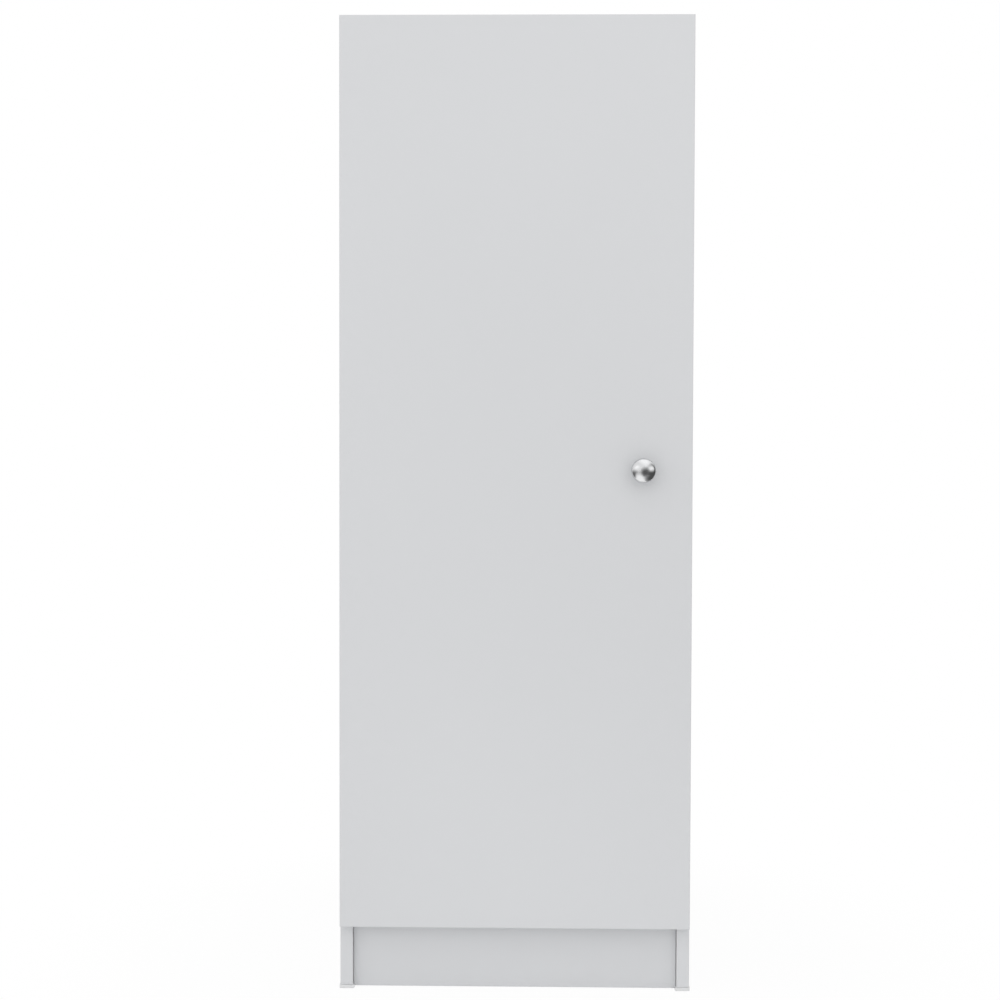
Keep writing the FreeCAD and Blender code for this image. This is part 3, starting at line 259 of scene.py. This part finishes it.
def chrome(name):
    """Polished chrome plating with the faintest handling haze."""
    finish = Finish(name)
    haze = finish.noise(9 * MM, 3.0)
    tint = finish.blend(haze, (0.66, 0.665, 0.675), (0.69, 0.695, 0.70))
    return finish.skin(tint, 0.07 + 0.04 * haze, Metallic=1.0)


def plated_steel(name, colour, rough=0.30, grain=EVEN):
    """Plated steel: rolled grain, a little uneven shine."""
    finish = Finish(name)
    cloud = finish.noise(4 * MM, 3.0)
    brush = finish.noise(0.25 * MM, 3.0, 0.6, grain)
    tint = finish.blend(cloud, shade(colour, 0.90), shade(colour, 1.05))
    bumps = finish.relief(brush, 0.006 * MM)
    return finish.skin(tint, rough - 0.06 + 0.14 * cloud + 0.06 * brush, bumps, Metallic=1.0)


def cast_zinc(name):
    """Plain die casting with a sandy skin."""
    finish = Finish(name)
    sand = finish.noise(0.4 * MM, 4.0, 0.6)
    tint = finish.blend(sand, (0.42, 0.42, 0.44), (0.58, 0.58, 0.60))
    return finish.skin(tint, 0.42 + 0.2 * sand, finish.relief(sand, 0.03 * MM), Metallic=1.0)


def moulded(name, colour, rough=0.42):
    """Moulded plastic with a finely eroded texture."""
    finish = Finish(name)
    spark = finish.noise(0.35 * MM, 3.0, 0.6)
    flow = finish.noise(22 * MM, 2.0)
    tint = finish.blend(flow, shade(colour, 0.97), shade(colour, 1.03))
    return finish.skin(tint, rough + 0.1 * spark, finish.relief(spark, 0.012 * MM), IOR=1.5)


def powder_coat(name, colour):
    """Powder coating with a light orange peel."""
    finish = Finish(name)
    peel = finish.noise(1.8 * MM, 1.0)
    tint = finish.blend(peel, shade(colour, 0.985), shade(colour, 1.015))
    return finish.skin(tint, 0.30 + 0.06 * peel, finish.relief(peel, 0.05 * MM), IOR=1.5)


def beech(name):
    """Fluted beech dowel with its short dark flecks."""
    finish = Finish(name)
    grain = finish.noise(0.8 * MM, 4.0, 0.6, (0.15, 1.0, 1.0))
    tint = finish.ramp(grain, (0.25, (0.42, 0.27, 0.15)), (0.6, (0.62, 0.44, 0.27)),
                       (0.9, (0.70, 0.53, 0.35)))
    return finish.skin(tint, 0.6 + 0.2 * grain, finish.relief(grain, 0.05 * MM), IOR=1.45)


def soft_bumper(name):
    """Milky soft plastic with a slight tack shine."""
    finish = Finish(name)
    dust = finish.noise(0.8 * MM, 3.0)
    tint = finish.blend(dust, (0.66, 0.66, 0.65), (0.76, 0.76, 0.75))
    return finish.skin(tint, 0.22 + 0.25 * dust, IOR=1.46)


LACQUER_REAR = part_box("back_panel")[0].y + 0.4 * MM
FINISHES = {
    "melamine_board": melamine("carcass_melamine", BOARD_COLOUR),
    "door_board": melamine("door_melamine", BOARD_COLOUR),
    "hardboard": hardboard("back_hardboard", LACQUER_REAR),
    "knob_chrome": chrome("knob_chrome"),
    "zinc_steel": plated_steel("zinc_plated_steel", (0.60, 0.61, 0.63)),
    "zinc_casting": cast_zinc("zinc_casting"),
    "nickel_steel": plated_steel("nickel_plated_steel", (0.66, 0.635, 0.59), 0.26, (1.0, 0.05, 1.0)),
    "white_metal": powder_coat("rail_powder_coat", (0.74, 0.745, 0.75)),
    "white_plastic": moulded("cap_plastic", CAP_WHITE),
    "grey_plastic": moulded("clip_plastic", (0.22, 0.23, 0.245), 0.38),
    "glide_plastic": moulded("glide_plastic", (0.735, 0.74, 0.745)),
    "beech": beech("dowel_beech"),
    "bumper_rubber": soft_bumper("bumper_plastic"),
}
EDGING = edging_plastic("board_edging", shade(BOARD_COLOUR, 1.01))
CHIPBOARD = chipboard("chipboard_core")


# Shapes ------------------------------------------------------------------------------------

# Two points this near to each other are one point.
SAME_POINT = 0.002 * MM
# A point this near to a plane lies in it.
FLUSH = 0.01 * MM
# A fold between two faces is shaded smooth below the first angle, is rounded over above the
# second, and below the third there is no fold at all.
SMOOTH_BELOW = math.radians(32)
CRISP_ABOVE = math.radians(34)
FLAT_BELOW = math.radians(1)


def placed(name, data):
    """An object for a mesh, a lamp or a camera, set into the scene."""
    thing = bpy.data.objects.new(name, data)
    bpy.context.scene.collection.objects.link(thing)
    return thing


def poured(name, form):
    """An object in the shape of the form, which is used up."""
    mesh = bpy.data.meshes.new(name)
    form.to_mesh(mesh)
    form.free()
    return placed(name, mesh)


def copied(node):
    """A node's own shape with its doubled corners joined, ready to be worked on."""
    form = bmesh.new()
    form.from_mesh(NODES[node].data)
    bmesh.ops.remove_doubles(form, verts=form.verts, dist=SAME_POINT)
    return form


def block(low, high):
    """A box between two corners."""
    form = bmesh.new()
    bmesh.ops.create_cube(form, size=1.0)
    bmesh.ops.scale(form, vec=high - low, verts=form.verts)
    bmesh.ops.translate(form, vec=(low + high) / 2, verts=form.verts)
    return form


def turned(profile, steps):
    """A shape turned about Z from (radius, height) points; a radius of 0 closes it."""
    form = bmesh.new()
    rings = []
    for radius, height in profile:
        if radius == 0.0:
            rings.append([form.verts.new((0.0, 0.0, height))] * steps)
            continue
        ring = []
        for step in range(steps):
            turn = 2 * math.pi * step / steps
            ring.append(form.verts.new((radius * math.cos(turn), radius * math.sin(turn), height)))
        rings.append(ring)
    for lower, upper in zip(rings, rings[1:]):
        for step in range(steps):
            after = (step + 1) % steps
            corners = [lower[step], lower[after], upper[after], upper[step]]
            kept = [corner for at, corner in enumerate(corners) if corner not in corners[:at]]
            if len(kept) > 2:
                form.faces.new(kept)
    return form


def arc(centre, radius, start, end, count):
    """Points round part of an ellipse, by its two radii, with angles in degrees."""
    points = []
    for step in range(count + 1):
        turn = math.radians(start + (end - start) * step / count)
        points.append((centre[0] + radius[0] * math.cos(turn), centre[1] + radius[1] * math.sin(turn)))
    return points


def show(name, form, materials, node):
    """Puts a shape into the scene as a piece in the given materials, which moves as the node does."""
    form.normal_update()
    for edge in form.edges:
        edge.smooth = len(edge.link_faces) == 2 and edge.calc_face_angle() < SMOOTH_BELOW
    for face in form.faces:
        face.smooth = True
    piece = poured(name, form)
    for material in materials:
        piece.data.materials.append(material)
    flats = piece.modifiers.new("flats", "WEIGHTED_NORMAL")
    flats.keep_sharp = True
    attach(piece, BODY_OF[node])
    return piece


def stand_in(node, form, *inner):
    """Shows a shape in place of a node, in the node's finish and any inner materials."""
    piece = show(node + "_finished", form, [FINISHES[SLOT_OF[node]], *inner], node)
    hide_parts(node)


# Boards ------------------------------------------------------------------------------------

# The edging's thickness, the rounding of its outer corners, and how far it is scraped back
# from each face of the board.
BAND = 1.0 * MM
ARRIS = 0.75 * MM
SCRAPE = 0.05 * MM
SIDES = {"left": (X, -1), "right": (X, 1), "front": (Y, -1), "bottom": (Z, -1), "top": (Z, 1)}
WHOLE = (0.0, 0.0)
BETWEEN = (BAND, BAND)


def edging(node, side, along, trims):
    """A strip glued on one side of a board, its outer corners rounded over."""
    axis, way = SIDES[side]
    low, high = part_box(node)
    outer = high[axis] if way > 0 else low[axis]
    if way > 0:
        low[axis] = outer - BAND
    else:
        high[axis] = outer + BAND
    low[along] += trims[0]
    high[along] -= trims[1]
    across = X + Y + Z - axis - along
    low[across] += SCRAPE
    high[across] -= SCRAPE
    form = block(low, high)
    rim = [edge for edge in form.edges
           if all(abs(corner.co[axis] - outer) < FLUSH for corner in edge.verts)]
    bmesh.ops.bevel(form, geom=rim, offset=ARRIS, segments=4, profile=0.5, affect="EDGES")
    show("%s_edging_%s" % (node, side), form, [EDGING], node)


def board(node, flat, edged):
    """A faced board: its core gives way to the edging on the sides that are edged.

    flat is the axis that the faces look along; edged maps a side to the axis its strip runs
    along and to how much the strip stops short at its two ends."""
    low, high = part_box(node)
    form = copied(node)
    for side in edged:
        axis, way = SIDES[side]
        outer = high[axis] if way > 0 else low[axis]
        for corner in form.verts:
            if abs(corner.co[axis] - outer) < FLUSH:
                corner.co[axis] = outer - way * BAND
    form.normal_update()
    for face in form.faces:
        level = face.calc_center_median()[flat]
        outside = min(level - low[flat], high[flat] - level) < FLUSH
        faced = outside and abs(face.normal[flat]) > 0.9
        face.material_index = 0 if faced else 1
    stand_in(node, form, CHIPBOARD)
    for side, (along, trims) in edged.items():
        edging(node, side, along, trims)


board("door_panel", Y, {"left": (Z, WHOLE), "right": (Z, WHOLE),
                        "bottom": (X, BETWEEN), "top": (X, BETWEEN)})
for hand in ("left", "right"):
    board("side_panel_" + hand, X, {"front": (Z, WHOLE), "top": (Y, (BAND, 0.0))})
for level in ("top", "bottom"):
    board(level + "_panel", Z, {"front": (X, WHOLE)})
board("partition_panel", X, {"front": (Z, WHOLE)})
board("kick_board", Y, {"bottom": (X, WHOLE)})
for place in ("1", "2", "3", "4"):
    board("shelf_" + place, Z, {"front": (X, WHOLE)})


# Knob --------------------------------------------------------------------------------------

def knob():
    """A round chrome knob: a domed head that necks down to a small foot."""
    low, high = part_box("knob")
    middle = (low + high) / 2
    wide = (high.x - low.x) / 2
    long = high.y - low.y
    foot, foot_tall = 10.5 * MM, 2.0 * MM
    chamfer, rounding = 0.3 * MM, 0.8 * MM
    neck, neck_buried = 7.5 * MM, 8.5 * MM
    cove_wide, cove_tall = 2.6 * MM, 3.0 * MM
    belly = 9.0 * MM
    head_mid = long - belly
    profile = [(0.0, 0.0), (foot - chamfer, 0.0)]
    profile += arc((foot - rounding, foot_tall - rounding), (rounding, rounding), -40, 90, 8)
    profile += arc((neck + cove_wide, foot_tall + cove_tall), (cove_wide, cove_tall), 270, 180, 10)
    profile += [(neck, head_mid - neck_buried)]
    profile += arc((0.0, head_mid), (wide, belly), -60, 90, 72)[:-1]
    profile += [(0.0, long)]
    form = turned(profile, 128)
    forwards = Matrix.Rotation(math.radians(90), 4, "X")
    form.transform(Matrix.Translation((middle.x, high.y, middle.z)) @ forwards)
    stand_in("knob", form)


knob()


# Hardware ----------------------------------------------------------------------------------

for node, thing in NODES.items():
    thing.data.materials.clear()
    thing.data.materials.append(FINISHES[SLOT_OF[node]])


def softened(node, radius, steps=2):
    """A fitting in its own shape with its crisp edges rounded over."""
    form = copied(node)
    bmesh.ops.dissolve_limit(form, angle_limit=FLAT_BELOW, verts=form.verts, edges=form.edges)
    form.normal_update()
    crisp = [edge for edge in form.edges
             if len(edge.link_faces) == 2 and edge.calc_face_angle() > CRISP_ABOVE]
    bmesh.ops.bevel(form, geom=crisp, offset=radius, segments=steps, profile=0.5,
                    affect="EDGES", clamp_overlap=True)
    bmesh.ops.remove_doubles(form, verts=form.verts, dist=SAME_POINT)
    stand_in(node, form)


def islands(node):
    """The separate solids of a node, each as its points."""
    form = copied(node)
    met = set()
    found = []
    for first in form.verts:
        if first in met:
            continue
        met.add(first)
        group = [first]
        for corner in group:
            for edge in corner.link_edges:
                beyond = edge.other_vert(corner)
                if beyond not in met:
                    met.add(beyond)
                    group.append(beyond)
        found.append([corner.co.copy() for corner in group])
    form.free()
    return found


def seat_of(points):
    """How a turned fitting lies: the middle of its wide end, the way out of it, its length."""
    low = Vector([min(point[axis] for point in points) for axis in (X, Y, Z)])
    high = Vector([max(point[axis] for point in points) for axis in (X, Y, Z)])
    long = max((X, Y, Z), key=lambda axis: high[axis] - low[axis])
    across = (long + 1) % 3
    middle = (low + high) / 2
    half = (high[long] - low[long]) / 2

    def width(way):
        """How wide the last quarter is at that end."""
        return max(abs(point[across] - middle[across]) for point in points
                   if way * (point[long] - middle[long]) > half / 2)

    out = Vector((0.0, 0.0, 0.0))
    out[long] = 1.0 if width(1) > width(-1) else -1.0
    return middle + out * half, out, 2 * half


def carved(form, tools):
    """A shape with other shapes cut out of it."""
    for part in (form, *tools):
        bmesh.ops.recalc_face_normals(part, faces=part.faces)
    blank, *cutters = [poured("carving", part) for part in (form, *tools)]
    for cutter in cutters:
        cut = blank.modifiers.new("cut", "BOOLEAN")
        cut.operation = "DIFFERENCE"
        cut.solver = "EXACT"
        cut.object = cutter
    shown = blank.evaluated_get(bpy.context.evaluated_depsgraph_get())
    result = bmesh.new()
    result.from_mesh(shown.data)
    for thing in (blank, *cutters):
        mesh = thing.data
        bpy.data.objects.remove(thing)
        bpy.data.meshes.remove(mesh)
    return result


def fixing(length, head, head_tall, shank, point, recess):
    """A screw along -Z with the top of its head at the origin: a domed head with a cross recess.

    head, shank and recess are radii, and point is how long the tip tapers. At its floor the
    recess has only a share of its length and width."""
    tip = 0.35 * shank
    chamfer = 0.12 * MM
    rim = 0.35 * head_tall
    profile = [(0.0, -length), (tip, -length), (shank, point - length), (shank, -head_tall),
               (head - chamfer, -head_tall), (head, chamfer - head_tall), (head, rim - head_tall)]
    profile += arc((0.0, rim - head_tall), (head, head_tall - rim), 8, 90, 14)[:-1] + [(0.0, 0.0)]
    deep, half_slot = 0.7 * head_tall, 0.17 * recess
    floor_long, floor_wide = 0.45, 0.7
    tools = []
    for turn in (0, 90):
        bar = block(Vector((-recess, -half_slot, -deep)), Vector((recess, half_slot, MM)))
        for corner in bar.verts:
            if corner.co.z < 0:
                corner.co.x *= floor_long
                corner.co.y *= floor_wide
        bmesh.ops.rotate(bar, matrix=Matrix.Rotation(math.radians(turn), 3, "Z"), verts=bar.verts)
        tools.append(bar)
    return carved(turned(profile, 48), tools)


def copies(master, seats):
    """The same small shape, which points up, set at every seat and turned a little further each."""
    first_turn, next_turn = 23, 71
    whole = bmesh.new()
    mesh = bpy.data.meshes.new("master")
    master.to_mesh(mesh)
    master.free()
    for at, (spot, way, _) in enumerate(seats):
        first = len(whole.verts)
        whole.from_mesh(mesh)
        whole.verts.ensure_lookup_table()
        spin = Matrix.Rotation(math.radians(first_turn + next_turn * at), 4, "Z")
        aim = way.to_track_quat("Z", "Y").to_matrix().to_4x4()
        bmesh.ops.transform(whole, matrix=Matrix.Translation(spot) @ aim @ spin,
                            verts=whole.verts[first:])
    bpy.data.meshes.remove(mesh)
    return whole


def screws(node, *sizes):
    """Shows a node's screws in the order of their places, to the hundredth of a millimetre."""
    seats = [seat_of(points) for points in islands(node)]
    seats.sort(key=lambda seat: [round(along, 5) for along in seat[0]])
    length = seats[0][2]
    stand_in(node, copies(fixing(length, *(size * MM for size in sizes)), seats))


# The head's radius and height, the shank's radius, how long the tip tapers, and the recess's
# radius, in millimetres.
for node in ("bracket_screws", "rail_screws", "clip_screws", "hinge_cup_screws"):
    screws(node, 3.4, 1.8, 1.9, 3.0, 1.9)
screws("hinge_plate_screws", 3.9, 1.9, 2.5, 1.5, 2.2)
screws("hinge_arm_screws", 3.2, 1.8, 2.0, 0.5, 1.9)
screws("knob_screw", 4.2, 2.4, 2.0, 0.7, 2.3)

# How far each fitting's edges are rounded over, and in how many steps. The names that end in a
# height are the parts of the three hinges.
for node in NODES:
    if node.startswith("floor_glide"):
        softened(node, 0.5 * MM, 3)
    elif node.startswith(("broom_clip", "wall_bracket")):
        softened(node, 0.35 * MM)
    elif node.endswith(("_lower", "_middle", "_upper")):
        softened(node, 0.2 * MM)
softened("broom_rail", 0.4 * MM)
softened("door_bumpers", 0.8 * MM, 4)
softened("cam_caps", 0.35 * MM, 3)
softened("shelf_pins", 0.4 * MM, 3)
for node in ("cam_housings", "back_nails", "glide_nails", "hinge_arm_rivets", "hinge_cup_rivets"):
    softened(node, 0.15 * MM)


# Stage -------------------------------------------------------------------------------------

def staged(name, form, material):
    """Something that stands round the cupboard and is no part of it."""
    thing = poured(name, form)
    thing.data.materials.append(material)
    return thing


def floor(half_wide, fade_from, fade_to):
    """A pale floor that fades to white between two distances from the cupboard's middle."""
    form = bmesh.new()
    bmesh.ops.create_grid(form, x_segments=1, y_segments=1, size=half_wide)
    finish = Finish("floor_white")
    white = finish.fade(finish.spot(), fade_from, fade_to, 0.95, 1.0) * finish.seen()
    paper = finish.add("ShaderNodeBsdfDiffuse", {}, {"Color": (0.94, 0.94, 0.94)})
    staged("floor", form, finish.close("ShaderNodeMixShader", {0: white, 1: paper, 2: finish.glow(1.0)}))


def surroundings(level):
    """Even light from all round, and white wherever the eye or a reflection sees past things."""
    studio = Finish("studio", "worlds", "ShaderNodeOutputWorld")
    lit, white = (studio.add("ShaderNodeBackground", {}, {"Color": WHITE, "Strength": strength})
                  for strength in (level, 1.0))
    bpy.context.scene.world = studio.close("ShaderNodeMixShader", {0: studio.seen(), 1: lit, 2: white})


def skylight(name, way, strength, spread):
    """A very soft lamp that lights every height of the cupboard alike; way is towards the lamp."""
    lamp = bpy.data.lights.new(name, "SUN")
    lamp.energy = strength
    lamp.angle = math.radians(spread)
    thing = placed(name, lamp)
    thing.rotation_euler = Vector(way).to_track_quat("Z", "Y").to_euler()
    thing.visible_glossy = False


def card(name, turn, rise, half_wide, half_tall, away, tone):
    """A studio card that faces the knob. It has soft edges, and only shiny surfaces mirror it.

    turn is degrees right of straight ahead and rise is degrees above the level, and the half
    sizes are degrees too, as the knob sees them; away is metres."""
    low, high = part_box("knob")
    turn, rise = math.radians(turn), math.radians(rise)
    way = Vector((math.sin(turn) * math.cos(rise), -math.cos(turn) * math.cos(rise), math.sin(rise)))
    right = Vector((math.cos(turn), math.sin(turn), 0.0))
    up = right.cross(way)
    middle = (low + high) / 2 + way * away
    right *= away * math.tan(math.radians(half_wide))
    up *= away * math.tan(math.radians(half_tall))
    form = bmesh.new()
    signs = ((-1, -1), (1, -1), (1, 1), (-1, 1))
    face = form.faces.new([form.verts.new(middle + right * x + up * y) for x, y in signs])
    places = form.loops.layers.uv.new("places")
    for loop, sign in zip(face.loops, signs):
        loop[places].uv = sign
    cloth = Finish(name)
    cover = cloth.fade(cloth.add("ShaderNodeTexCoord", {}, {}, "UV"), 0.15, 1.0, 1.0, 0.0)
    clear = cloth.add("ShaderNodeBsdfTransparent", {}, {"Color": WHITE})
    soft = cloth.close("ShaderNodeMixShader", {0: cover, 1: clear, 2: cloth.glow(tone)})
    thing = staged(name, form, soft)
    thing.visible_camera = False
    thing.visible_diffuse = False
    thing.visible_transmission = False
    thing.visible_shadow = False


def camera(place, down, left, lean):
    """The eye stands a little right of the middle and looks slightly left and down.

    down, left and lean are degrees."""
    eye = bpy.data.cameras.new("camera")
    eye.sensor_width = 36.0
    eye.lens = 65.8
    thing = placed("camera", eye)
    look = Euler((math.radians(90 - down), 0.0, math.radians(left)), "XYZ").to_matrix().to_4x4()
    tilt = Matrix.Rotation(math.radians(lean), 4, "Z")
    thing.matrix_world = Matrix.Translation(place) @ look @ tilt
    bpy.context.scene.camera = thing


floor(12.0, 0.35, 0.9)
surroundings(0.754)
skylight("key", (-1.0, -2.0, 0.3), 1.2, 140.0)
# turn, rise, half width and half height in degrees, how far away, and how bright: the cloths
# are dim and the cards are bright.
card("cloth_right_low", 72, -37, 64, 51, 0.62, 0.10)
card("cloth_behind_eye", 9, -9, 33, 33, 1.20, 0.13)
card("cloth_left", -72, -21, 62, 33, 0.90, 0.19)
card("cloth_right", 68, -4, 64, 53, 1.50, 0.02)
card("card_left", -40, 19, 30, 18, 1.40, 1.30)
card("card_right", 52, 10, 42, 26, 1.30, 1.20)
card("card_overhead", 17, 69, 40, 56, 1.20, 1.31)
card("card_left_low", -31, -54, 35, 52, 0.70, 1.20)
camera((0.032, -2.746, 0.795), 2.04, 1.20, 0.15)
bpy.context.scene.view_settings.view_transform = "Standard"
